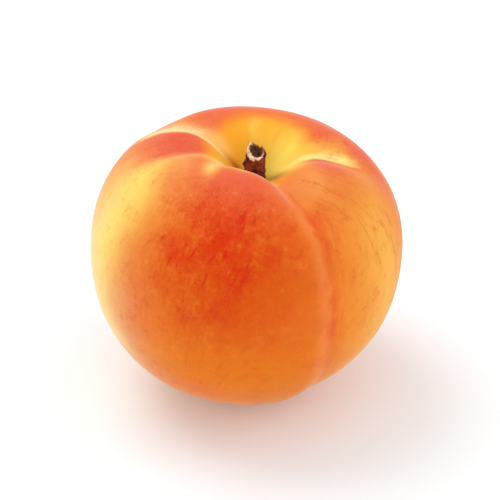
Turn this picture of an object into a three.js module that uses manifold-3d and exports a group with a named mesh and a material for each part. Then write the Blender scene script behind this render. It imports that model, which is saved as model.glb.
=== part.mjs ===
// An apricot as it lies on a table: one fleshy fruit with a deep stem cavity, lobed shoulders and a suture
// down one side, and the short woody stub of the stem that it was picked with.
// Millimetres, +Z up. The origin is the middle of the small flat spot that the fruit rests on.
// Azimuths turn about the stem axis, from 0 at the front (-Y) towards +X. Polar angles start at the stem end.
import * as THREE from "three";
import { mergeVertices } from "three/addons/utils/BufferGeometryUtils.js";
import Module from "manifold-3d";

// Fruit: driving dimensions
const HALF_WIDTH = 25.0;
const SHOULDER_RISE = 21.6; // from the widest level up to where the shoulders would meet with no cavity
const BASE_DROP = 24.4; // from the widest level down to the blossom end
const SHOULDER_FULLNESS = 2.3; // superellipse exponent: 2 is a plain ellipse, more is squarer
const BASE_FULLNESS = 2.02;
const BREADTH_SWELL = 0.008; // how much broader it is from side to side than from front to back
const LEAN = 6; // degrees that the stem axis leans towards +X
const CAVITY_DEPTH = 8.4;
const CAVITY_REACH = 18.5; // degrees of polar angle
const FUNNEL_DEPTH = 1.2;
const FUNNEL_REACH = 10;

// The fruit's widest level stands this high, so that the lowest 0.6 mm is pressed flat.
const CENTRE = new THREE.Vector3(0.39, -0.34, 23.75);

// Cheeks: broad swellings and flats of the flesh
const CHEEKS = [
  { azimuth: -5, polar: 27, reach: 20, rise: 0.9 }, // front shoulder
  { azimuth: -60, polar: 30, reach: 18, rise: 0.8 }, // left shoulder
  { azimuth: 120, polar: 55, reach: 40, rise: 0.7 }, // back right
  { azimuth: 45, polar: 128, reach: 32, rise: -0.6 }, // flat beside the suture, low down
  { azimuth: -95, polar: 108, reach: 32, rise: -0.6 }, // flat on the left side
];

// Furrows that run out of the stem cavity and part the shoulders
const FURROWS = [
  { azimuth: 97, reach: 10, depth: 2.2, fade: [32, 62] }, // right
  { azimuth: -129, reach: 9, depth: 2.3, fade: [32, 64] }, // back left, opposite the suture
  { azimuth: -82, reach: 8, depth: 1.9, fade: [28, 54] }, // left
  { azimuth: -46, reach: 5, depth: 0.9, fade: [20, 36] }, // front left
];

// Suture: a deep cleft by the cavity that runs out into a shallow groove, one cheek proud of the other
const SUTURE = {
  azimuth: 31,
  sway: { turn: 3, polar: 90, reach: 22 },
  cleft: { reach: 8, depth: 3.8, rise: [8, 24], fade: [30, 54] },
  groove: { reach: 4, depth: 0.25, rise: [24, 50], fade: [160, 175] },
  step: { height: 0.35, sharpness: 3, reach: 18 },
};

// Stem stub: it stands in a socket in the floor of the cavity
const STEM_TIP_RADIUS = 1.6;
const STEM_ROOT_RADIUS = 1.42;
const STEM_COLLAR = { height: 5.4, reach: 0.6, rise: 0.12 };
const STEM_LOW_HEIGHT = 6.7; // from its lower end to the low side of the break
const STEM_HIGH_HEIGHT = 8.7; // to the high side
const STEM_HIGH_SIDE = -150; // azimuth
const STEM_FOOT = new THREE.Vector3(1.94, -0.34, 34.9); // centre of its lower end
const STEM_TILT = 1.3; // degrees, towards +X
const SOCKET_GAP = 0.3;

// Mesh steps
const FRUIT_SEGMENTS = 72;
const FRUIT_RINGS = 50;
const RING_CROWDING = 1.25; // above 1 crowds the rings towards the stem end
const STEM_SEGMENTS = 20;
const STEM_RINGS = 10;
const MERGE_DISTANCE = 1e-4;
const CUT_CLEANUP = 0.004; // drops the needless corners that the cuts leave

const DEG = Math.PI / 180;
const wasm = await Module();
wasm.setup();

const bell = (distance, reach) => Math.exp(-((distance / reach) ** 2));

const turnBetween = (a, b) => Math.atan2(Math.sin(a - b), Math.cos(a - b));

const ramp = (value, [from, to]) =>
  THREE.MathUtils.smoothstep(value, from * DEG, to * DEG);

// How far across the surface a point lies from a line that runs down from the stem end, in radians of arc.
const acrossFrom = (azimuth, polar, lineAzimuth) =>
  turnBetween(azimuth, lineAzimuth) * Math.sin(Math.max(polar, 5 * DEG));

function bodyRadius(polar) {
  const upper = Math.cos(polar) > 0;
  const height = upper ? SHOULDER_RISE : BASE_DROP;
  const power = upper ? SHOULDER_FULLNESS : BASE_FULLNESS;
  const across = (Math.abs(Math.sin(polar)) / HALF_WIDTH) ** power;
  const along = (Math.abs(Math.cos(polar)) / height) ** power;
  return (across + along) ** (-1 / power);
}

function cheeks(polar, azimuth) {
  return CHEEKS.reduce((sum, cheek) => {
    const level = cheek.polar * DEG;
    const facing =
      Math.cos(polar) * Math.cos(level) +
      Math.sin(polar) * Math.sin(level) * Math.cos(azimuth - cheek.azimuth * DEG);
    const away = Math.acos(THREE.MathUtils.clamp(facing, -1, 1));
    return sum + cheek.rise * bell(away, cheek.reach * DEG);
  }, 0);
}

function cavity(polar) {
  const bowl = CAVITY_DEPTH * Math.exp(-((polar / (CAVITY_REACH * DEG)) ** 2.4));
  const funnel = FUNNEL_DEPTH * bell(polar, FUNNEL_REACH * DEG);
  return bowl + funnel;
}

function furrows(polar, azimuth) {
  return FURROWS.reduce((sum, furrow) => {
    const across = acrossFrom(azimuth, polar, furrow.azimuth * DEG);
    const along = ramp(polar, [6, 22]) * (1 - ramp(polar, furrow.fade));
    return sum + furrow.depth * bell(across, furrow.reach * DEG) * along;
  }, 0);
}

function suture(polar, azimuth) {
  const { sway, cleft, groove, step } = SUTURE;
  const swing = sway.turn * DEG * bell(polar - sway.polar * DEG, sway.reach * DEG);
  const across = acrossFrom(azimuth, polar, SUTURE.azimuth * DEG + swing);
  const byCavity = ramp(polar, cleft.rise) * (1 - ramp(polar, cleft.fade));
  const onFlank = ramp(polar, groove.rise) * (1 - ramp(polar, groove.fade));
  const proud =
    -Math.tanh(across / (step.sharpness * DEG)) * bell(across, step.reach * DEG);
  return (
    cleft.depth * bell(across, cleft.reach * DEG) * byCavity +
    groove.depth * bell(across, groove.reach * DEG) * onFlank -
    step.height * proud * onFlank
  );
}

// Distance from the fruit's centre to its skin
function skinRadius(polar, azimuth) {
  const breadth =
    1 + BREADTH_SWELL * Math.cos(2 * (azimuth - 90 * DEG)) * Math.sin(polar) ** 2;
  return (
    bodyRadius(polar) * breadth +
    cheeks(polar, azimuth) -
    cavity(polar) -
    furrows(polar, azimuth) -
    suture(polar, azimuth)
  );
}

function toSolid(geometry, matrix = new THREE.Matrix4()) {
  const bare = geometry.clone().applyMatrix4(matrix);
  bare.deleteAttribute("normal");
  bare.deleteAttribute("uv");
  const merged = mergeVertices(bare, MERGE_DISTANCE);
  return new wasm.Manifold(
    new wasm.Mesh({
      numProp: 3,
      vertProperties: new Float32Array(merged.attributes.position.array),
      triVerts: new Uint32Array(merged.index.array),
    }),
  );
}

function toGeometry(solid) {
  const mesh = solid.getMesh();
  const geometry = new THREE.BufferGeometry();
  geometry.setAttribute(
    "position",
    new THREE.BufferAttribute(mesh.vertProperties, mesh.numProp),
  );
  geometry.setIndex(new THREE.BufferAttribute(mesh.triVerts, 1));
  geometry.computeVertexNormals();
  return geometry;
}

// The whole skin, from the floor of the cavity to the blossom end, leaning as the fruit lies
function fruitGeometry() {
  const geometry = new THREE.SphereGeometry(1, FRUIT_SEGMENTS, FRUIT_RINGS);
  geometry.rotateX(90 * DEG);
  const position = geometry.attributes.position;
  const point = new THREE.Vector3();
  for (let i = 0; i < position.count; i++) {
    point.fromBufferAttribute(position, i);
    const azimuth = Math.atan2(point.x, -point.y);
    const share = Math.acos(THREE.MathUtils.clamp(point.z, -1, 1)) / Math.PI;
    const polar = Math.PI * share ** RING_CROWDING;
    const radius = skinRadius(polar, azimuth);
    position.setXYZ(
      i,
      radius * Math.sin(polar) * Math.sin(azimuth),
      -radius * Math.sin(polar) * Math.cos(azimuth),
      radius * Math.cos(polar),
    );
  }
  geometry.rotateY(LEAN * DEG);
  geometry.translate(CENTRE.x, CENTRE.y, CENTRE.z);
  return geometry;
}

// The stub, standing on its lower end, with a slanting break at the top
function stemGeometry() {
  const geometry = new THREE.CylinderGeometry(1, 1, 1, STEM_SEGMENTS, STEM_RINGS);
  geometry.translate(0, 0.5, 0);
  geometry.rotateX(90 * DEG);
  const position = geometry.attributes.position;
  const middle = (STEM_LOW_HEIGHT + STEM_HIGH_HEIGHT) / 2;
  const slant = (STEM_HIGH_HEIGHT - STEM_LOW_HEIGHT) / 2;
  for (let i = 0; i < position.count; i++) {
    const across = Math.hypot(position.getX(i), position.getY(i));
    const azimuth = Math.atan2(position.getX(i), -position.getY(i));
    const share = position.getZ(i);
    const lift = slant * across * Math.cos(azimuth - STEM_HIGH_SIDE * DEG);
    const height = share * (middle + lift);
    const collar = STEM_COLLAR.rise * bell(height - STEM_COLLAR.height, STEM_COLLAR.reach);
    const radius = THREE.MathUtils.lerp(STEM_ROOT_RADIUS, STEM_TIP_RADIUS, share) + collar;
    position.setXYZ(i, position.getX(i) * radius, position.getY(i) * radius, height);
  }
  geometry.computeVertexNormals();
  return geometry;
}

const skin = new THREE.MeshStandardMaterial({
  color: 0xf08a3c,
  roughness: 0.6,
  metalness: 0,
});
const bark = new THREE.MeshStandardMaterial({
  color: 0x5a2f1e,
  roughness: 0.9,
  metalness: 0,
});

const stem = new THREE.Mesh(stemGeometry(), bark);
stem.name = "stem";
stem.position.copy(STEM_FOOT);
stem.rotation.y = STEM_TILT * DEG;
stem.updateMatrix();

// The socket follows the stem's root with an even gap, and the flat spot is cut at the table's level.
const socketRadius = STEM_ROOT_RADIUS + SOCKET_GAP;
const socketHeight = STEM_LOW_HEIGHT;
const socket = new THREE.CylinderGeometry(
  socketRadius,
  socketRadius,
  socketHeight,
  STEM_SEGMENTS,
);
socket.rotateX(90 * DEG);
socket.translate(0, 0, socketHeight / 2 - SOCKET_GAP);
const table = new THREE.BoxGeometry(80, 80, 20);
table.translate(0, 0, -10);
const fruitSolid = toSolid(fruitGeometry())
  .subtract(toSolid(table))
  .subtract(toSolid(socket, stem.matrix))
  .simplify(CUT_CLEANUP);

const fruit = new THREE.Mesh(toGeometry(fruitSolid), skin);
fruit.name = "fruit";

const apricot = new THREE.Group();
apricot.name = "apricot";
apricot.add(fruit, stem);

export default apricot;
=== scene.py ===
import math
import random

import bmesh
import bpy
from mathutils import Matrix, Vector, noise


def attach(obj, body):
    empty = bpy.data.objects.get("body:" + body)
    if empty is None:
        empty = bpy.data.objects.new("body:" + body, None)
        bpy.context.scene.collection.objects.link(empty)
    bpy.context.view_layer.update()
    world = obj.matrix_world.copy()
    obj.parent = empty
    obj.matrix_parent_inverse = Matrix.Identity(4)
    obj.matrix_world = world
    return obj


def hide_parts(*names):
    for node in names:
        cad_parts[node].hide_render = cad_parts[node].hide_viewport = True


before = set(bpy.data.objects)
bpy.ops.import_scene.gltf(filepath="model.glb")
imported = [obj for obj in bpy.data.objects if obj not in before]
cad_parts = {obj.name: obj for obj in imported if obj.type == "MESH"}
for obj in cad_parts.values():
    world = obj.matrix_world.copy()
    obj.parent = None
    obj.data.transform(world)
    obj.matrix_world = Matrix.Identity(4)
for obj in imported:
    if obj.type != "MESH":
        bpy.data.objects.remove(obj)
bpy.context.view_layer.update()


# ---- Fruit -----------------------------------------------------------------------------------------------
# The whole apricot, grown as one piece: soft flesh in a thin downy skin. Shoulders swell round a deep
# cavity at the stem end, furrows part them into lobes, and a suture runs down one side. It rests on its
# flattened blossom end.

# Sizes are in millimetres and degrees. Azimuths turn about the stem axis, from 0 at the front towards +X,
# and polar angles start at the stem end.
MM = 0.001
flesh_sizes = {
    "Half width": 25.0,
    "Shoulder rise": 21.6,
    "Base drop": 24.4,
    "Cavity depth": 8.4,
    "Cavity reach": 18.5,
    "Funnel depth": 1.2,
    "Furrow depth": 1.0,
    "Cleft depth": 3.8,
    "Groove depth": 0.16,
    "Cheek step": 0.35,
    "Tip dimple": 0.45,
    "Lean": 6.0,
    "Unevenness": 0.16,
}
flesh_middle = Vector((0.39, -0.34, 23.75))
swellings = [  # azimuth, polar, reach, rise
    (-5, 27, 20, 0.9),  # front shoulder
    (-60, 30, 18, 0.8),  # left shoulder
    (120, 55, 40, 0.7),  # back right
    (45, 128, 32, -0.25),  # flat beside the suture, low down
    (-95, 108, 32, -0.6),  # flat on the left side
]
furrow_lines = [  # azimuth, reach, depth, where it starts and ends fading out
    (97, 10, 2.2, 32, 62),  # right
    (-129, 9, 2.3, 32, 64),  # back left, opposite the suture
    (-82, 8, 1.9, 28, 54),  # left
    (-46, 5, 0.9, 20, 36),  # front left
]
suture_azimuth = 31
base_fullness = 2.02  # exponent of the superellipse: 2 is a plain ellipse, more is squarer
shoulder_fullness = 2.3
breadth_swell = 0.008  # how much broader it is from side to side than from front to back
funnel_reach = 10
table_easing = 0.25  # how softly the flat spot turns up into the flesh
easing_top = 4.0  # flesh above this height isn't pressed at all
segments_round = 360
rings_down = 250
ring_crowding = 1.25  # above 1 crowds the rings towards the stem end


class Field:
    """A number that a node tree works out at every point, written with ordinary signs."""

    def __init__(self, tree, socket):
        self.tree = tree
        self.socket = socket

    def work(self, operation, *numbers):
        """A Math node on these numbers: each is a Field or a plain number."""
        node = self.tree.nodes.new("ShaderNodeMath")
        node.operation = operation
        for entry, number in zip(node.inputs, numbers):
            if isinstance(number, Field):
                self.tree.links.new(number.socket, entry)
            else:
                entry.default_value = number
        return Field(self.tree, node.outputs[0])

    def __add__(self, other):
        return self.work("ADD", self, other)

    def __sub__(self, other):
        return self.work("SUBTRACT", self, other)

    def __rsub__(self, other):
        return self.work("SUBTRACT", other, self)

    def __mul__(self, other):
        return self.work("MULTIPLY", self, other)

    def __truediv__(self, other):
        return self.work("DIVIDE", self, other)

    def __rtruediv__(self, other):
        return self.work("DIVIDE", other, self)

    def __pow__(self, other):
        return self.work("POWER", self, other)

    def __neg__(self):
        return self.work("MULTIPLY", self, -1.0)

    __radd__ = __add__
    __rmul__ = __mul__

    def sin(self):
        return self.work("SINE", self)

    def cos(self):
        return self.work("COSINE", self)

    def tanh(self):
        return self.work("TANH", self)

    def size(self):
        return self.work("ABSOLUTE", self)

    def at_least(self, low):
        """Whichever is more: this, or another Field or plain number."""
        return self.work("MAXIMUM", self, low)

    def at_most(self, high):
        return self.work("MINIMUM", self, high)

    def turned(self):
        """The same angle between minus and plus half a turn."""
        return self.work("WRAP", self, math.pi, -math.pi)

    def bell(self, reach):
        """1 at zero, falling away on both sides within this reach."""
        share = self / reach
        return self.work("EXPONENT", -(share * share))

    def climb(self, low, high):
        """0 up to low, rising smoothly to 1 at high."""
        node = self.tree.nodes.new("ShaderNodeMapRange")
        node.interpolation_type = "SMOOTHSTEP"
        self.tree.links.new(self.socket, node.inputs["Value"])
        node.inputs["From Min"].default_value = low
        node.inputs["From Max"].default_value = high
        return Field(self.tree, node.outputs["Result"])


def parts_of(tree, vector_socket):
    """The three numbers of a vector."""
    node = tree.nodes.new("ShaderNodeSeparateXYZ")
    tree.links.new(vector_socket, node.inputs[0])
    return [Field(tree, output) for output in node.outputs]


def vector_of(tree, *numbers):
    """A vector socket made of three numbers."""
    node = tree.nodes.new("ShaderNodeCombineXYZ")
    for entry, number in zip(node.inputs, numbers):
        if isinstance(number, Field):
            tree.links.new(number.socket, entry)
        else:
            entry.default_value = number
    return node.outputs[0]


def grain(tree, vector_socket, scale, detail=2.0, roughness=0.5, swirl=0.0):
    """Smooth random variation about zero, from about -0.5 to 0.5."""
    node = tree.nodes.new("ShaderNodeTexNoise")
    tree.links.new(vector_socket, node.inputs["Vector"])
    node.inputs["Scale"].default_value = scale
    node.inputs["Detail"].default_value = detail
    node.inputs["Roughness"].default_value = roughness
    node.inputs["Distortion"].default_value = swirl
    return Field(tree, node.outputs[0]) - 0.5


def moved(tree, vector_socket, offset):
    """The same vector, shifted, so that one random pattern isn't the same as another."""
    node = tree.nodes.new("ShaderNodeVectorMath")
    node.operation = "ADD"
    tree.links.new(vector_socket, node.inputs[0])
    node.inputs[1].default_value = offset
    return node.outputs[0]


def tone(red, green, blue):
    """A colour given as the eye sees it, from 0 to 255, as light amounts for a material."""
    steps = [value / 255 for value in (red, green, blue)]
    return [s / 12.92 if s <= 0.04045 else ((s + 0.055) / 1.055) ** 2.4 for s in steps] + [1.0]


def blend(tree, share, below, above):
    """A colour between two, by share. Each is a colour or a socket."""
    node = tree.nodes.new("ShaderNodeMix")
    node.data_type = "RGBA"
    node.clamp_factor = True
    tree.links.new(share.socket, node.inputs[0])
    for entry, colour in ((node.inputs[6], below), (node.inputs[7], above)):
        if isinstance(colour, bpy.types.NodeSocket):
            tree.links.new(colour, entry)
        else:
            entry.default_value = colour
    return node.outputs[2]


deg = math.radians
flesh = bpy.data.node_groups.new("Apricot flesh", "GeometryNodeTree")
flesh.interface.new_socket("Geometry", in_out="INPUT", socket_type="NodeSocketGeometry")
flesh.interface.new_socket("Geometry", in_out="OUTPUT", socket_type="NodeSocketGeometry")
flesh_keys = {}
for name, value in flesh_sizes.items():
    entry = flesh.interface.new_socket(name, in_out="INPUT", socket_type="NodeSocketFloat")
    entry.default_value = value
    flesh_keys[name] = entry.identifier
entry = flesh.interface.new_socket("Skin", in_out="INPUT", socket_type="NodeSocketMaterial")
flesh_keys["Skin"] = entry.identifier
given = flesh.nodes.new("NodeGroupInput")
size_of = {name: Field(flesh, given.outputs[name]) for name in flesh_sizes}

ball = flesh.nodes.new("GeometryNodeMeshUVSphere")
ball.inputs["Segments"].default_value = segments_round
ball.inputs["Rings"].default_value = rings_down
ball.inputs["Radius"].default_value = 1.0
ball_points = flesh.nodes.new("GeometryNodeInputPosition")
ball_x, ball_y, ball_z = parts_of(flesh, ball_points.outputs[0])

# Rings crowd towards the stem end, where the shape turns fastest.
azimuth = ball_x.work("ARCTAN2", ball_x, -ball_y)
share_down = ball_z.work("ARCCOSINE", ball_z.at_least(-1.0).at_most(1.0)) / math.pi
polar = (share_down ** ring_crowding) * math.pi
slant = polar.sin()
upright = polar.cos()
bearing = vector_of(flesh, slant * azimuth.sin(), -(slant * azimuth.cos()), upright)

# Body: one superellipse above the widest level and a rounder one below it
upper = upright.work("GREATER_THAN", upright, 0.0)
height = size_of["Base drop"] + (size_of["Shoulder rise"] - size_of["Base drop"]) * upper
fullness = base_fullness + (shoulder_fullness - base_fullness) * upper
outward = (slant.size() / size_of["Half width"]) ** fullness
upward = (upright.size() / height) ** fullness
skin_radius = (outward + upward) ** (-1.0 / fullness)
breadth = (2.0 * (azimuth - deg(90))).cos() * slant * slant
skin_radius = skin_radius * (1.0 + breadth_swell * breadth)

for turn, level, reach, rise in swellings:
    facing = (
        upright * math.cos(deg(level))
        + slant * math.sin(deg(level)) * (azimuth - deg(turn)).cos()
    )
    away = facing.work("ARCCOSINE", facing.at_least(-1.0).at_most(1.0))
    skin_radius = skin_radius + rise * away.bell(deg(reach))

# Stem cavity: a bowl, and a funnel at its floor
bowl_share = polar / (size_of["Cavity reach"] * deg(1))
bowl = bowl_share.work("EXPONENT", -(bowl_share ** 2.4))
funnel = polar.bell(deg(funnel_reach))
skin_radius = skin_radius - (size_of["Cavity depth"] * bowl + size_of["Funnel depth"] * funnel)

# Furrows that run out of the cavity
for turn, reach, depth, start, end in furrow_lines:
    across = (azimuth - deg(turn)).turned() * polar.at_least(deg(5)).sin()
    along = polar.climb(deg(6), deg(22)) * (1.0 - polar.climb(deg(start), deg(end)))
    furrow = across.bell(deg(reach)) * along
    skin_radius = skin_radius - size_of["Furrow depth"] * depth * furrow

# Suture: a deep cleft beside the cavity, then a shallow groove, with one cheek proud of the other
suture_line = (
    deg(suture_azimuth)
    + deg(1.6) * polar.climb(deg(42), deg(60))
    + deg(1.2) * (polar - deg(90)).bell(deg(22))
    + deg(4.2) * polar.climb(deg(88), deg(124))
)
off_suture = (azimuth - suture_line).turned() * polar.at_least(deg(4)).sin()
cleft_along = polar.climb(deg(8), deg(24)) * (1.0 - polar.climb(deg(30), deg(54)))
groove_along = polar.climb(deg(24), deg(50)) * (1.0 - polar.climb(deg(160), deg(175)))
cleft = off_suture.bell(deg(8)) * cleft_along
proud = -((off_suture / deg(3)).tanh()) * off_suture.bell(deg(18))
skin_radius = (
    skin_radius
    - size_of["Cleft depth"] * cleft
    - size_of["Groove depth"] * off_suture.bell(deg(3.2)) * groove_along
    + size_of["Cheek step"] * proud * groove_along
)

# Blossom end: a small dimple where the flower's remains dropped off
from_tip = math.pi - polar
skin_radius = skin_radius - size_of["Tip dimple"] * from_tip.bell(deg(3.0))

# Slight unevenness of a grown surface
wander = grain(flesh, bearing, 2.3, 1.0)
wander = wander + 0.45 * grain(flesh, moved(flesh, bearing, (5, 2, 8)), 6.5, 1.0)
skin_radius = skin_radius + size_of["Unevenness"] * wander * polar.climb(deg(10), deg(30))

# The stem axis leans, and what would sink below the table is pressed flat.
lean = size_of["Lean"] * deg(1)
out_x = skin_radius * slant * azimuth.sin()
out_y = -(skin_radius * slant * azimuth.cos())
out_z = skin_radius * upright
leaned_x = out_x * lean.cos() + out_z * lean.sin() + flesh_middle.x
leaned_z = out_z * lean.cos() - out_x * lean.sin() + flesh_middle.z
steps_up = (leaned_z / table_easing).at_most(20.0)
over = steps_up.work("EXPONENT", steps_up) + 1.0
eased = over.work("LOGARITHM", over, math.e) * table_easing
settled = leaned_z.work("GREATER_THAN", leaned_z, easing_top)
resting_z = eased + (leaned_z - eased) * settled
put = flesh.nodes.new("GeometryNodeSetPosition")
flesh.links.new(ball.outputs["Mesh"], put.inputs["Geometry"])
flesh.links.new(
    vector_of(flesh, leaned_x * MM, (out_y + flesh_middle.y) * MM, resting_z * MM),
    put.inputs["Position"],
)


# The skin ripens unevenly: golden where leaf or lobe shaded it, orange all round, and blushed red where the
# sun fell. Each patch is a soft oval on the surface, and wandering edges keep the ovals from showing.
wander_across = 0.2 * grain(flesh, moved(flesh, bearing, (1, 7, 3)), 3.4, 4.0, 0.55)
wander_down = 0.2 * grain(flesh, moved(flesh, bearing, (9, 4, 1)), 3.4, 4.0, 0.55)
ragged = 0.16 * grain(flesh, moved(flesh, bearing, (2, 2, 6)), 11.0, 3.0, 0.6)


def oval(side, drop, across, down, tilt):
    """1 in the middle of an oval, from how far a point lies beside and below it. Tilt turns the oval."""
    c, s = math.cos(deg(tilt)), math.sin(deg(tilt))
    first = (c * side + s * drop) / deg(across)
    second = (c * drop - s * side) / deg(down)
    away = first * first + second * second
    return away.work("EXPONENT", -away)


def patch(turn, level, across, down, tilt=0.0, wandering=1.0):
    """1 in the middle of an oval of skin and 0 well outside it."""
    side = (azimuth - deg(turn)).turned() * polar.at_least(deg(6)).sin()
    side = side + wandering * wander_across
    drop = polar - deg(level) + wandering * wander_down
    return oval(side, drop, across, down, tilt)


def strongest(marks):
    """The strongest of several marks that overlap, at every point."""
    most = marks[0]
    for mark in marks[1:]:
        most = most.at_least(mark)
    return most


def between(low, high, soft_low, soft_high):
    """1 between two azimuths, with its own softness at each edge. The edges run down from the stem end."""
    turn = (azimuth - deg((low + high) / 2)).turned() + 0.6 * ragged
    half = (high - low) / 2
    rising = turn.climb(deg(-half - soft_low), deg(-half + soft_low))
    return rising * (1.0 - turn.climb(deg(half - soft_high), deg(half + soft_high)))


def down_from(start, end, earlier=0.0):
    """0 above this polar angle and 1 below it, with a slightly ragged edge."""
    return (polar + 0.5 * ragged + earlier).climb(deg(start), deg(end))


# The two pale patches far left and low on the left are painted highlight: the bloom of the down at the rim.
ground_patches = [  # azimuth, polar, reach across, reach down, tilt, strength, colour
    (150, 80, 60, 45, 0, 0.6, tone(244, 150, 58)),  # back
    (0, 178, 60, 36, 0, 0.9, tone(238, 166, 70)),  # under the belly
    (-5, 108, 62, 20, 0, 0.9, tone(230, 124, 16)),  # belly
    (-6, 70, 34, 27, 0, 1.0, tone(222, 90, 4)),  # sunny cheek
    (-40, 96, 12, 22, 0, 0.6, tone(236, 124, 36)),  # left of the belly
    (43, 75, 11, 42, 0, 0.85, tone(240, 138, 44)),  # beside the suture
    (64, 78, 15, 46, 0, 0.95, tone(248, 178, 74)),  # right flank
    (64, 38, 26, 12, 0, 0.95, tone(230, 126, 52)),  # right lobe
    (44, 30, 9, 9, 0, 0.85, tone(242, 164, 84)),  # right bank of the cleft
    (-64, 116, 18, 26, 0, 0.95, tone(253, 218, 166)),  # low on the left: pale painted highlight of the down at the rim
    (-69, 73, 15, 34, 0, 1.0, tone(253, 214, 100)),  # left flank
    (-69, 50, 11, 11, 24, 1.0, tone(254, 210, 100)),  # up from the left flank to the notch
    (-50, 43, 8, 8, 20, 0.7, tone(234, 128, 66)),  # between the notch and the cheek
    (-56, 35, 7, 5, 20, 0.9, tone(244, 162, 86)),  # below the notch
    (-81, 98, 17, 32, 0, 0.95, tone(255, 227, 156)),  # far left: pale painted highlight of the down at the rim, over the yellow flank
]
ground = tone(234, 118, 36)
for *place, strength, patch_colour in ground_patches:
    ground = blend(flesh, strength * patch(*place), ground, patch_colour)

# Cavity: deep gold where little sun reached. Towards the right it is painted yellower as painted light,
# where the wall faces the lamp.
sunlit_brow = deg(7) * (azimuth - deg(25)).turned().bell(deg(65))
in_cavity = 1.0 - down_from(21, 31, sunlit_brow)
cavity_gold_with_painted_light = blend(flesh, patch(110, 17, 15, 16, 0, 0.5), tone(249, 174, 42), tone(255, 226, 96))
ground = blend(flesh, in_cavity * 0.97, ground, cavity_gold_with_painted_light)

# Furrows stay yellow, palest in a band along one edge.
wedge_end = 1.0 - down_from(38, 52)
right_furrow = between(95, 114, 2.0, 9.0) * wedge_end * down_from(12, 18)
ground = blend(flesh, right_furrow, ground, tone(254, 204, 78))
pale_right = between(94, 103, 1.4, 3.0) * (1.0 - down_from(38, 48)) * down_from(15, 24)
ground = blend(flesh, 0.85 * pale_right, ground, tone(255, 228, 140))
left_furrow = between(-138, -108, 8.0, 2.0) * (1.0 - down_from(44, 66)) * down_from(14, 22)
ground = blend(flesh, left_furrow, ground, tone(250, 184, 96))
pale_edge = between(-132, -108, 6.0, 1.6) * (1.0 - down_from(44, 58)) * down_from(26, 36)
upper_edge = between(-115, -108, 3.0, 1.6) * down_from(14, 22) * (1.0 - down_from(34, 46))
pale_edge = pale_edge.at_least(0.6 * upper_edge)
ground = blend(flesh, 0.9 * pale_edge, ground, tone(255, 222, 156))
notch = patch(-40, 28, 3.4, 6, -30, 0.2)
ground = blend(flesh, notch * 0.95, ground, tone(254, 212, 112))

# Painted highlight: a thin pale line follows the crest where the front shoulder turns over into the cavity.
painted_brow_highlight = (polar - deg(20.6)).bell(deg(2.4)) * between(-64, 34, 9.0, 8.0)
ground = blend(flesh, 0.5 * painted_brow_highlight, ground, tone(255, 214, 138))

# Painted shade: the deepest creases beside the stem are darkened with a brownish tone.
painted_crease_shade = (patch(58, 14, 6, 4.5, 0, 0.2) + patch(-122, 12, 3.0, 5, 0, 0.2)).at_most(1.0)
ground = blend(flesh, 0.9 * painted_crease_shade, ground, tone(168, 84, 6))

# Rose: a pinkish flush on the lobes that face the sky
left_lobe = between(-107, -78, 2.0, 7.0) * down_from(17, 27) * (1.0 - down_from(38, 62))
rose = left_lobe * 0.85
rose_patches = [  # azimuth, polar, reach across, reach down, tilt, strength
    (-168, 40, 27, 13, 0, 0.95),  # back shoulder
    (148, 44, 26, 14, 0, 1.0),  # back right shoulder
    (130, 36, 15, 9, 0, 0.75),  # inner side of the back right shoulder
    (116, 50, 15, 14, 0, 1.0),  # right rim
    (100, 62, 9, 18, 0, 0.8),  # further round the right rim
    (-12, 31, 24, 13, 0, 0.75),  # front lobe
    (-128, 60, 16, 22, 0, 0.5),  # left of the back furrow
    (-175, 88, 50, 26, 0, 0.45),  # far side
    (82, 31, 11, 7, 0, 0.85),  # top of the right lobe
    (-47, 92, 10, 22, 0, 0.3),  # between the left flank and the belly
    (-38, 126, 30, 10, 0, 0.3),  # low at the front left
]
rose = strongest([rose] + [patch(*place) * strength for *place, strength in rose_patches])
on_shoulders = down_from(22, 30, sunlit_brow)
rose = rose * on_shoulders.at_least(left_lobe)
for bare_of_rose, share in ((pale_edge, 0.9), (pale_right, 0.9), (notch, 0.8), (painted_brow_highlight, 0.6)):
    rose = rose * (1.0 - share * bare_of_rose)

# Blush: the deep red cheek at the front
blush_patches = [  # azimuth, polar, reach across, reach down, tilt, strength
    (-13, 56, 15, 13, 0, 0.84),
    (-28, 64, 13, 13, 0, 0.6),
    (-6, 65, 11, 11, 0, 0.66),
    (-18, 47, 24, 12, 0, 0.62),
    (6, 55, 16, 14, 0, 0.5),
    (-14, 78, 30, 16, 0, 0.38),
]
blush = strongest([patch(*place) * strength for *place, strength in blush_patches])


def store(tree, mesh_socket, name, kind, socket):
    """Keeps a number, vector or colour with every point of the mesh, under this name."""
    node = tree.nodes.new("GeometryNodeStoreNamedAttribute")
    node.data_type = kind
    node.domain = "POINT"
    node.inputs["Name"].default_value = name
    tree.links.new(mesh_socket, node.inputs["Geometry"])
    tree.links.new(socket, node.inputs["Value"])
    return node.outputs["Geometry"]


# The readings come from the ball before it is pushed into shape, so they are stored first.
mesh_now = ball.outputs["Mesh"]
mesh_now = store(flesh, mesh_now, "bearing", "FLOAT_VECTOR", bearing)
mesh_now = store(flesh, mesh_now, "ground", "FLOAT_COLOR", ground)
mesh_now = store(flesh, mesh_now, "rose", "FLOAT", rose.socket)
mesh_now = store(flesh, mesh_now, "blush", "FLOAT", blush.socket)
mesh_now = store(flesh, mesh_now, "off_suture", "FLOAT", off_suture.socket)
flesh.links.new(mesh_now, put.inputs["Geometry"])
smooth = flesh.nodes.new("GeometryNodeSetShadeSmooth")
flesh.links.new(put.outputs["Geometry"], smooth.inputs["Geometry"])
whole = flesh.nodes.new("GeometryNodeRealizeInstances")
flesh.links.new(smooth.outputs["Geometry"], whole.inputs["Geometry"])
clad = flesh.nodes.new("GeometryNodeSetMaterial")
flesh.links.new(whole.outputs["Geometry"], clad.inputs["Geometry"])
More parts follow.
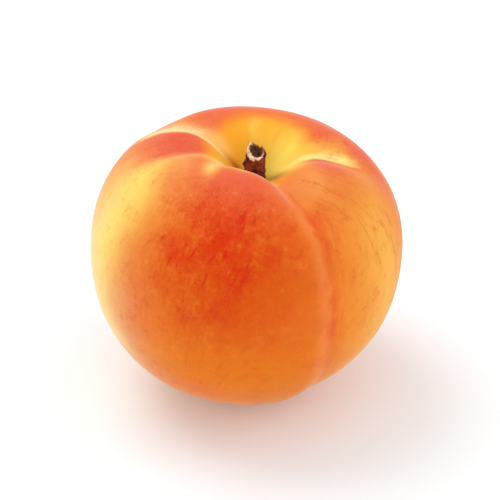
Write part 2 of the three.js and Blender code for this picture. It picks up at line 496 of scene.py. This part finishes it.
flesh.links.new(given.outputs["Skin"], clad.inputs["Material"])
result = flesh.nodes.new("NodeGroupOutput")
flesh.links.new(clad.outputs["Geometry"], result.inputs[0])


# Skin finish: thin and matt over juicy flesh, with a down so short that it only shows as a pale bloom at the
# edges. Light goes a little way in. Specks, dashes and faint streaks down from the stem lie over the ground.
skin = bpy.data.materials.new("Apricot skin")
skin.use_nodes = True
paint = skin.node_tree
paint.nodes.clear()


def reading(tree, name):
    """A value stored with the mesh."""
    node = tree.nodes.new("ShaderNodeAttribute")
    node.attribute_name = name
    return node


way = reading(paint, "bearing").outputs["Vector"]
way_x, way_y, way_z = parts_of(paint, way)
skin_azimuth = way_x.work("ARCTAN2", way_x, -way_y)
skin_polar = way_z.work("ARCCOSINE", way_z.at_least(-1.0).at_most(1.0))
colour = reading(paint, "ground").outputs["Color"]
rose_here = Field(paint, reading(paint, "rose").outputs["Fac"])
blush_here = Field(paint, reading(paint, "blush").outputs["Fac"])
suture_here = Field(paint, reading(paint, "off_suture").outputs["Fac"])

mottle = grain(paint, way, 9.0, 4.0, 0.6)
fine = grain(paint, moved(paint, way, (3, 3, 3)), 42.0, 3.0, 0.65)
tiny = grain(paint, moved(paint, way, (8, 1, 5)), 95.0, 2.0, 0.6)
blotch = grain(paint, moved(paint, way, (1, 5, 2)), 19.0, 3.0, 0.6)

# Streaks run down from the stem. On the right lobe they bow out towards the furrow, and on the sunny cheek
# they slant.
drawn = deg(16) * skin_polar.climb(deg(24), deg(58)) * skin_azimuth.climb(deg(34), deg(44))
slanting = deg(22) * (skin_polar / deg(60)) * (skin_azimuth + deg(4)).bell(deg(26))
streak_turn = skin_azimuth - drawn + slanting
streak_x = streak_turn.cos()
streak_y = streak_turn.sin()


def along_streaks(across, down):
    """Places for a pattern that is drawn out along the streaks: how close it lies across and down."""
    return vector_of(paint, across * streak_x, across * streak_y, down * skin_polar)


coarse_streak = grain(paint, along_streaks(9.0, 1.6), 1.0, 3.0, 0.6)
fine_streak = grain(paint, along_streaks(26.0, 6.0), 1.0, 4.0, 0.65)
streak_where = skin_polar.climb(deg(24), deg(44)) * (1.0 - skin_polar.climb(deg(112), deg(150)))

flush = (rose_here + (0.5 * mottle + 0.5 * fine) * rose_here).at_most(1.0)
colour = blend(paint, flush, colour, tone(226, 88, 72))
unevenly = 0.8 * mottle + 0.6 * blotch + 0.15 * coarse_streak + 0.8 * fine + 0.2 * fine_streak
deep = (blush_here + unevenly * blush_here.climb(0.02, 0.35)).climb(0.0, 1.05)
colour = blend(paint, 0.96 * deep.at_most(1.0), colour, tone(220, 42, 0))

# Under it all the ground shifts a little between redder and yellower.
broad = grain(paint, moved(paint, way, (7, 3, 9)), 5.0, 3.0, 0.55)
shift = 0.5 * coarse_streak + 0.8 * mottle + 0.9 * blotch + 0.9 * fine + 0.35 * fine_streak + 0.9 * broad
calm = 1.0 - 0.6 * blush_here.climb(0.1, 0.6)
# The painted rim highlight on the left flank is spared most of the redder and duller shifts.
painted_rim_highlight = (skin_azimuth + deg(84)).bell(deg(26)) * (skin_polar - deg(88)).bell(deg(44))
redder_where = skin_polar.climb(deg(20), deg(34)) * (1.0 - 0.8 * painted_rim_highlight)
colour = blend(paint, 0.5 * shift.climb(0.02, 0.55) * redder_where, colour, tone(220, 78, 22))
colour = blend(paint, 0.42 * calm * (-shift).climb(0.08, 0.6) * streak_where, colour, tone(246, 160, 54))

# It is a little duller in small blotches, everywhere but in the cavity.
duller = (blotch + 0.8 * fine + 0.5 * mottle).climb(0.0, 0.5) * skin_polar.climb(deg(22), deg(34))
colour = blend(paint, 0.13 * duller * (1.0 - 0.5 * painted_rim_highlight), colour, tone(198, 74, 18))

# Reddish broken line along the suture, with a few lines that fan out of the cleft
line_fade = skin_polar.climb(deg(38), deg(48)) * (1.0 - skin_polar.climb(deg(112), deg(128)))
broken = (0.75 + 1.6 * fine_streak + 1.4 * mottle).at_least(0.0).at_most(1.0)
gap = 1.0 - 0.6 * (skin_polar - deg(67)).bell(deg(6)) - 0.5 * (skin_polar - deg(98)).bell(deg(10))
line = (suture_here + 0.06 * mottle + 0.02 * fine).bell(deg(2.1)) * line_fade * broken * gap
near_cleft = 1.0 - skin_polar.climb(deg(50), deg(74))
fan = (suture_here - deg(4) + 0.16 * mottle).bell(deg(5)) * line_fade
fan = fan * (0.35 + 2.8 * fine_streak).at_least(0.0)
paler_bank = (suture_here + deg(4.2) + 0.08 * mottle).bell(deg(2.4)) * line_fade
colour = blend(paint, 0.35 * paler_bank, colour, tone(246, 146, 84))
colour = blend(paint, 0.78 * line, colour, tone(226, 66, 18))
colour = blend(paint, (0.25 + 0.5 * near_cleft) * fan, colour, tone(220, 74, 28))


def flecks(across, down, offset, smallest, largest, picked):
    """Short marks drawn out along the streaks: how close they lie across and down, their size, how few."""
    cells = paint.nodes.new("ShaderNodeTexVoronoi")
    cells.feature = "F1"
    paint.links.new(moved(paint, along_streaks(across, down), offset), cells.inputs["Vector"])
    cells.inputs["Scale"].default_value = 1.0
    reach = Field(paint, cells.outputs["Distance"]) + 0.3 * tiny + 0.3 * fine
    pick = parts_of(paint, cells.outputs["Color"])
    return (1.0 - reach.climb(smallest, largest)) * pick[0].climb(picked, picked + 0.15)


# Brownish wrinkle lines, mostly on the right lobe and flank, and redder ones scattered on the cheek
on_right = skin_azimuth.climb(deg(38), deg(46)) * (1.0 - skin_azimuth.climb(deg(95), deg(120)))
wrinkles = flecks(17.0, 4.2, (0, 0, 3), 0.04, 0.4, 0.45)
colour = blend(paint, 0.58 * wrinkles * on_right * streak_where, colour, tone(222, 104, 36))
thin_wrinkles = flecks(30.0, 5.5, (7, 1, 0), 0.02, 0.26, 0.5)
thin_where = (0.15 + 0.85 * on_right) * streak_where
colour = blend(paint, 0.4 * thin_wrinkles * thin_where, colour, tone(206, 84, 30))

# Short reddish brown smudges low down on the belly
smudges = flecks(18.0, 4.5, (4, 4, 9), 0.04, 0.5, 0.5)
smudge_where = skin_polar.climb(deg(64), deg(88)) * skin_azimuth.bell(deg(60))
colour = blend(paint, 0.3 * smudges * smudge_where, colour, tone(206, 66, 14))

# Long thin wrinkles that bow over the right lobe, spaced round it and each begun at its own level
wrinkle_chance = random.Random(5)
long_wrinkles = []
for step in range(9):
    turn = 34 + 3 * step + wrinkle_chance.uniform(-1, 1)
    start = 26 + 13 * (step % 4) + wrinkle_chance.uniform(-3, 3)
    end = start + wrinkle_chance.uniform(12, 24)
    width = wrinkle_chance.uniform(0.35, 0.6)
    strength = wrinkle_chance.uniform(0.35, 0.6)
    middle = math.sin(deg((start + end) / 2))
    beside = (streak_turn - deg(turn)).turned() * middle + 0.06 * mottle + 0.04 * fine
    begun = skin_polar.climb(deg(start), deg(start + 5))
    ended = skin_polar.climb(deg(end - 5), deg(end))
    long_wrinkles.append(strength * beside.bell(deg(width)) * begun * (1.0 - ended))
colour = blend(paint, strongest(long_wrinkles) * (0.8 + 1.6 * fine), colour, tone(216, 92, 28))

red_flecks = flecks(26.0, 11.0, (2, 8, 5), 0.08, 0.36, 0.3)
fleck_where = (0.12 + 0.88 * blush_here.climb(0.03, 0.45)) * streak_where
colour = blend(paint, 0.32 * red_flecks * fleck_where, colour, tone(210, 18, 0))

# Fine crinkled lines, as thin as a hair, that run every way over the cheek and the lobes
crinkle = grain(paint, moved(paint, way, (6, 6, 1)), 20.0, 2.0, 0.6, 1.6).bell(0.016)
crinkle = crinkle * (mottle + 0.5 * coarse_streak).climb(-0.02, 0.16) * skin_polar.climb(deg(22), deg(32))
colour = blend(paint, crinkle * (0.05 + 0.41 * blush_here.climb(0.03, 0.5)), colour, tone(200, 34, 12))

# Short brush-like dashes of dark red, in three loose groups on the sunny cheek
dash_groups = [  # azimuth, polar
    (-30, 61),  # left
    (-5, 48),  # under the front lobe
    (-5, 66),  # low
]
dash_chance = random.Random(3)
dashes = []
for count in range(18):
    group_turn, group_level = dash_groups[count % len(dash_groups)]
    turn = dash_chance.gauss(group_turn, 6)
    level = dash_chance.gauss(group_level, 4)
    length = dash_chance.uniform(0.9, 2.8)
    width = dash_chance.uniform(0.4, 0.65)
    tilt = dash_chance.gauss(14, 8)
    strength = dash_chance.uniform(0.45, 0.9)
    side = (skin_azimuth - deg(turn)).turned() * math.sin(deg(level)) + 0.02 * fine
    drop = skin_polar - deg(level) + 0.02 * mottle
    dashes.append(strength * oval(side, drop, width, length, tilt))
dash_where = 0.2 + 0.8 * blush_here.climb(0.05, 0.35)
dash_share = (0.9 + 0.8 * fine) * strongest(dashes) * dash_where
colour = blend(paint, dash_share, colour, tone(212, 18, 4))

# Fine specks, thickest on the blush
speck_layers = [  # how close they lie, offset, where a speck starts to fade and ends, how few
    (34.0, (0, 0, 0), 0.08, 0.3, 0.3),
    (22.0, (4, 9, 2), 0.06, 0.2, 0.5),
]
specks = []
for spacing, offset, smallest, largest, picked in speck_layers:
    dots = paint.nodes.new("ShaderNodeTexVoronoi")
    dots.feature = "F1"
    paint.links.new(moved(paint, way, offset), dots.inputs["Vector"])
    dots.inputs["Scale"].default_value = spacing
    dot_size = Field(paint, dots.outputs["Distance"]) + 0.2 * tiny
    dot_pick = parts_of(paint, dots.outputs["Color"])
    chosen = dot_pick[0].climb(picked, picked + 0.2)
    specks.append((1.0 - dot_size.climb(smallest, largest)) * chosen)
speck_where = (0.14 + 0.86 * blush_here.climb(0.03, 0.6)) * skin_polar.climb(deg(24), deg(34))
colour = blend(paint, 0.42 * strongest(specks) * speck_where, colour, tone(184, 10, 0))

# Faint rays on the wall of the cavity, yellower and browner
in_bowl = 1.0 - skin_polar.climb(deg(20), deg(30))
around_stem = vector_of(paint, 2.6 * skin_azimuth.cos(), 2.6 * skin_azimuth.sin(), 1.6 * skin_polar)
ray = grain(paint, around_stem, 1.0, 3.0, 0.55) + 0.5 * mottle
colour = blend(paint, 0.45 * in_bowl * ray.climb(0.0, 0.4), colour, tone(254, 222, 110))
colour = blend(paint, 0.45 * in_bowl * (-ray).climb(0.0, 0.4), colour, tone(226, 132, 24))

# Grainy look of down seen from close by
down_grain = (0.5 + 1.4 * tiny + 0.8 * fine).climb(0.55, 1.1)
colour = blend(paint, down_grain * 0.26 * calm, colour, tone(252, 160, 70))


def surface(tree, colour_socket, relief_height, relief_strength, relief_depth, finish):
    """The material's surface: its colour, a fine relief, and the values that are even all over."""
    shell = tree.nodes.new("ShaderNodeBsdfPrincipled")
    tree.links.new(colour_socket, shell.inputs["Base Color"])
    for entry_name, value in finish.items():
        shell.inputs[entry_name].default_value = value
    relief = tree.nodes.new("ShaderNodeBump")
    relief.inputs["Strength"].default_value = relief_strength
    relief.inputs["Distance"].default_value = relief_depth
    tree.links.new(relief_height.socket, relief.inputs["Height"])
    tree.links.new(relief.outputs["Normal"], shell.inputs["Normal"])
    out = tree.nodes.new("ShaderNodeOutputMaterial")
    tree.links.new(shell.outputs["BSDF"], out.inputs["Surface"])


skin_finish = {
    "Roughness": 0.7,
    "Specular IOR Level": 0.1,
    "Subsurface Weight": 0.2,
    "Subsurface Radius": (1.0, 0.35, 0.12),
    "Subsurface Scale": 2.2 * MM,
    "Sheen Weight": 0.5,
    "Sheen Roughness": 0.3,
    "Sheen Tint": (1.0, 0.88, 0.62, 1.0),
}
pores = grain(paint, way, 120.0, 3.0, 0.6) + mottle * 0.8
surface(paint, colour, pores, 0.3, 0.1 * MM, skin_finish)

grower = bpy.data.objects.new("grower", bpy.data.meshes.new("grower"))
bpy.context.scene.collection.objects.link(grower)
shaper = grower.modifiers.new("Apricot flesh", "NODES")
shaper.node_group = flesh
for name, value in flesh_sizes.items():
    shaper[flesh_keys[name]] = value
shaper[flesh_keys["Skin"]] = skin
evaluated = grower.evaluated_get(bpy.context.evaluated_depsgraph_get())
fruit_mesh = bpy.data.meshes.new_from_object(evaluated)
bpy.data.objects.remove(grower)
fruit_skin = bpy.data.objects.new("fruit_skin", fruit_mesh)
bpy.context.scene.collection.objects.link(fruit_skin)
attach(fruit_skin, "root")
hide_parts("fruit")


# ---- Stem ------------------------------------------------------------------------------------------------
# The woody stub that the fruit was picked with: dry dark bark, wrinkled as it shrank, torn off at a slant.
# The tear shows pale wood along its lower lip round a brown hollow, painted darker towards its floor as
# painted shade. It grows out of the cavity's floor.

stem_foot = Vector((2.15, -0.34, 34.9))
stem_tilt = 1.3
stem_root_radius = 1.4
stem_tip_radius = 1.58
stem_level = 7.9  # from its foot to the middle of the break
stem_buried = 0.9  # how far its root goes on down into the flesh
stem_peak = (-140, 34, 0.9)  # azimuth, reach, how far the break stands up there
stem_dip = (0, 60, 0.75)  # azimuth, reach, how far it drops
stripped_edge = 0.12  # how sharply the bark ends where it is stripped
rim_rounding = 0.18
rim_band = 0.25  # how far below the rim its rounding starts
hollow_floor = 0.75  # how far the hollow's floor lies below the middle of the break
stem_round = 144  # points round it
stem_up = 110  # rings from root to rim
tear_rings = 26  # rings from rim to middle

stem_points = []
stem_wood = []
stem_painted_hollow_shade = []
stem_faces = []


def turn_bell(turn, azimuth_mid, reach):
    """1 at this azimuth, falling away on both sides."""
    away = math.atan2(math.sin(turn - deg(azimuth_mid)), math.cos(turn - deg(azimuth_mid)))
    return math.exp(-((away / deg(reach)) ** 2))


def tear_height(turn):
    """How high the torn edge stands at this azimuth."""
    jag = noise.noise(Vector((2.2 * math.cos(turn), 2.2 * math.sin(turn), 7.0)))
    fine_jag = noise.noise(Vector((6 * math.cos(turn), 6 * math.sin(turn), 3.0)))
    peak_turn, peak_reach, peak_height = stem_peak
    dip_turn, dip_reach, dip_depth = stem_dip
    peak = peak_height * turn_bell(turn, peak_turn, peak_reach)
    dip = dip_depth * turn_bell(turn, dip_turn, dip_reach)
    return stem_level + peak - dip + 0.3 * jag + 0.22 * fine_jag


def bark_bulge(turn, level):
    """How far the bark stands out here, from its ridges, folds, cracks, ring, loose flakes and root."""
    cx, cy = math.cos(turn), math.sin(turn)
    ridge = noise.noise(Vector((2.6 * cx, 2.6 * cy, 0.3 * level)))
    fold = noise.noise(Vector((1.6 * cx, 1.6 * cy, 1.5 * level + 4)))
    crack = abs(noise.noise(Vector((2.2 * cx + 3, 2.2 * cy, 2.8 * level))))
    crumb = noise.noise(Vector((8 * cx, 8 * cy, 5 * level)))
    ring = 0.14 * math.exp(-(((level - 4.3) / 0.35) ** 2))
    flake = 0.52 * turn_bell(turn, -97, 26) * math.exp(-(((level - 5.5) / 0.62) ** 2))
    lower_flake = 0.3 * turn_bell(turn, -70, 22) * math.exp(-(((level - 4.4) / 0.5) ** 2))
    root = 0.45 * math.exp(-((level / 0.9) ** 2))
    return 0.16 * ridge + 0.14 * fold - 0.16 * crack + 0.06 * crumb + ring + flake + lower_flake + root


for row in range(stem_up + 1):
    for column in range(stem_round):
        turn = 2 * math.pi * column / stem_round
        top = tear_height(turn)
        level = -stem_buried + (top + stem_buried) * row / stem_up
        share = max(level, 0.0) / stem_level
        # Bark is stripped off the lower lip, so pale wood shows below the edge there.
        stripped = turn_bell(turn, -45, 75) * (0.55 + 0.35 * noise.noise(Vector((4 * turn, 1, 1))))
        bare = min(max((level - (top - stripped)) / stripped_edge, 0.0), 1.0)
        radius = stem_root_radius + (stem_tip_radius - stem_root_radius) * share
        radius += bark_bulge(turn, level) * (1 - 0.7 * bare) - 0.1 * bare
        radius -= rim_rounding * min(max((level - top + rim_band) / rim_band, 0.0), 1.0) ** 2
        stem_points.append((radius * math.sin(turn), -radius * math.cos(turn), level))
        stem_wood.append(bare)
        stem_painted_hollow_shade.append(0.0)
for ring in range(1, tear_rings + 1):
    inward = ring / tear_rings
    for column in range(stem_round):
        turn = 2 * math.pi * column / stem_round
        rim = stem_points[stem_up * stem_round + column]
        torn = noise.noise(Vector((3 * math.cos(turn), 3 * math.sin(turn), 11.0)))
        wall = 0.12 + 0.1 * turn_bell(turn, -30, 60) + 0.1 * torn
        sunk = min(max((inward - wall) / 0.4, 0.0), 1.0)
        splinter = noise.noise(Vector((3.6 * rim[0] * (1 - inward), 3.6 * rim[1] * (1 - inward), 1.5)))
        floor_level = stem_level - hollow_floor + 0.8 * math.cos(turn - deg(-150)) * (1 - inward)
        level = rim[2] + (floor_level - rim[2]) * sunk ** 0.8 + 0.4 * splinter * sunk
        stem_points.append((rim[0] * (1 - inward), rim[1] * (1 - inward), level))
        pale_side = 0.1 + 0.5 * torn
        for side_turn, side_reach, paleness in ((-30, 50, 0.9), (-130, 22, 0.6), (70, 12, 0.5)):
            pale_side += paleness * turn_bell(turn, side_turn, side_reach)
        stem_wood.append(max(1.0 - sunk * 1.3, 0.0) * min(pale_side, 1.0))
        # Painted shade: the hollow gets darker the deeper it sinks, and also darker where no pale wood
        # shows.
        stem_painted_hollow_shade.append(min(sunk * 1.5 + (1.0 - min(pale_side, 1.0)) * 0.5, 1.0))
for row in range(stem_up + tear_rings):
    for column in range(stem_round):
        after = (column + 1) % stem_round
        low = row * stem_round
        high = low + stem_round
        stem_faces.append((low + column, low + after, high + after, high + column))
stem_faces.append(tuple(reversed(range(stem_round))))

stem_mesh = bpy.data.meshes.new("stem_bark")
stem_mesh.from_pydata(stem_points, [], stem_faces)
for name, values in (("wood", stem_wood), ("dark", stem_painted_hollow_shade)):
    stem_mesh.attributes.new(name, "FLOAT", "POINT").data.foreach_set("value", values)
stem_mesh.transform(Matrix.Rotation(deg(stem_tilt), 4, "Y"))
stem_mesh.transform(Matrix.Translation(stem_foot))
stem_mesh.transform(Matrix.Scale(MM, 4))
welder = bmesh.new()
welder.from_mesh(stem_mesh)
bmesh.ops.remove_doubles(welder, verts=welder.verts, dist=0.001 * MM)
bmesh.ops.recalc_face_normals(welder, faces=welder.faces)
welder.to_mesh(stem_mesh)
welder.free()
for face in stem_mesh.polygons:
    face.use_smooth = True

bark = bpy.data.materials.new("Stem bark")
bark.use_nodes = True
bark_paint = bark.node_tree
bark_paint.nodes.clear()
bark_place = bark_paint.nodes.new("ShaderNodeTexCoord").outputs["Object"]
bark_grain = grain(bark_paint, bark_place, 700.0, 4.0, 0.65)
bark_crumbs = grain(bark_paint, bark_place, 2600.0, 3.0, 0.6)
bark_shade = (bark_grain + 0.4 * bark_crumbs).climb(-0.15, 0.13)
bark_colour = blend(bark_paint, bark_shade, tone(62, 14, 10), tone(146, 66, 46))
bare_wood = Field(bark_paint, reading(bark_paint, "wood").outputs["Fac"])
hollow_painted_shade = Field(bark_paint, reading(bark_paint, "dark").outputs["Fac"])
# The hollow's painted shade runs from brown near the rim to nearly black towards its floor.
hollow_shade = (hollow_painted_shade * 0.6 + 0.9 * bark_grain + 0.6 * bark_crumbs).climb(0.1, 0.75)
hollow_colour = blend(bark_paint, hollow_shade, tone(168, 98, 50), tone(40, 14, 8))
bark_colour = blend(bark_paint, hollow_painted_shade.climb(0.0, 0.12), bark_colour, hollow_colour)
wood_shade = (bark_grain + 0.5 * bark_crumbs).climb(-0.2, 0.1)
wood_colour = blend(bark_paint, wood_shade, tone(186, 118, 82), tone(248, 220, 190))
where_bare = (bare_wood + 0.9 * bark_grain + 0.5 * bark_crumbs).climb(0.32, 0.62)
bark_colour = blend(bark_paint, where_bare, bark_colour, wood_colour)
bark_finish = {"Roughness": 0.75, "Specular IOR Level": 0.25}
surface(bark_paint, bark_colour, bark_grain + 0.5 * bark_crumbs, 0.6, 0.12 * MM, bark_finish)
stem_mesh.materials.append(bark)
stem_stub = bpy.data.objects.new("stem_stub", stem_mesh)
bpy.context.scene.collection.objects.link(stem_stub)
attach(stem_stub, "root")
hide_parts("stem")


# ---- Table, light and camera -----------------------------------------------------------------------------
# A plain pale table top, lit softly from above and a little from the left and behind, as by a large
# window, with two weak panels at the right and the front.

floor_mesh = bpy.data.meshes.new("table_top")
table_reach = 3  # metres, far past the view
table_corners = [(x * table_reach, y * table_reach, 0) for x, y in ((-1, -1), (1, -1), (1, 1), (-1, 1))]
floor_mesh.from_pydata(table_corners, [], [(0, 1, 2, 3)])
floor_finish = bpy.data.materials.new("Pale table")
floor_finish.use_nodes = True
floor_skin = floor_finish.node_tree.nodes["Principled BSDF"]
floor_skin.inputs["Base Color"].default_value = (0.86, 0.91, 0.93, 1)
floor_skin.inputs["Emission Color"].default_value = (1, 1, 1, 1)
floor_skin.inputs["Emission Strength"].default_value = 0.1
floor_skin.inputs["Roughness"].default_value = 0.9
floor_skin.inputs["Specular IOR Level"].default_value = 0.1
floor_mesh.materials.append(floor_finish)
table_top = bpy.data.objects.new("table_top", floor_mesh)
bpy.context.scene.collection.objects.link(table_top)

world = bpy.data.worlds.new("Studio")
world.use_nodes = True
world.node_tree.nodes["Background"].inputs["Color"].default_value = (1.0, 1.0, 1.0, 1)
world.node_tree.nodes["Background"].inputs["Strength"].default_value = 0.8
bpy.context.scene.world = world


lamp_aim = Vector((0, 0, 0.02))


def soft_lamp(name, spot, width, power):
    """A large soft lamp that faces the fruit. Its spot and width are in metres, its power in watts."""
    lamp = bpy.data.lights.new(name, "AREA")
    lamp.shape = "DISK"
    lamp.size = width
    lamp.energy = power
    lamp_object = bpy.data.objects.new(name, lamp)
    bpy.context.scene.collection.objects.link(lamp_object)
    lamp_object.location = spot
    lamp_object.rotation_euler = (lamp_aim - Vector(spot)).to_track_quat("-Z", "Y").to_euler()


soft_lamp("window", (-0.35, 0.25, 0.75), 0.6, 2.6)
soft_lamp("right_panel", (0.6, 0.05, 0.32), 0.5, 0.8)
soft_lamp("front_panel", (-0.1, -0.6, 0.12), 0.4, 0.3)

view_height = 33  # degrees above level
view_distance = 0.4  # metres
view_right = 0.97  # how far the view's middle lies to the right of the fruit's, and above it
view_above = 0.32
back = Vector((0, -math.cos(deg(view_height)), math.sin(deg(view_height))))
view_up = Vector((0, math.sin(deg(view_height)), math.cos(deg(view_height))))
look_at = (flesh_middle + Vector((view_right, 0, 0)) + view_up * view_above) * MM
camera = bpy.data.cameras.new("camera")
camera.sensor_width = 36
camera.lens = 178.3
camera.clip_start = 0.01
camera_object = bpy.data.objects.new("camera", camera)
bpy.context.scene.collection.objects.link(camera_object)
camera_object.location = look_at + back * view_distance
camera_object.rotation_euler = (-back).to_track_quat("-Z", "Y").to_euler()
bpy.context.scene.camera = camera_object
bpy.context.scene.view_settings.view_transform = "Standard"
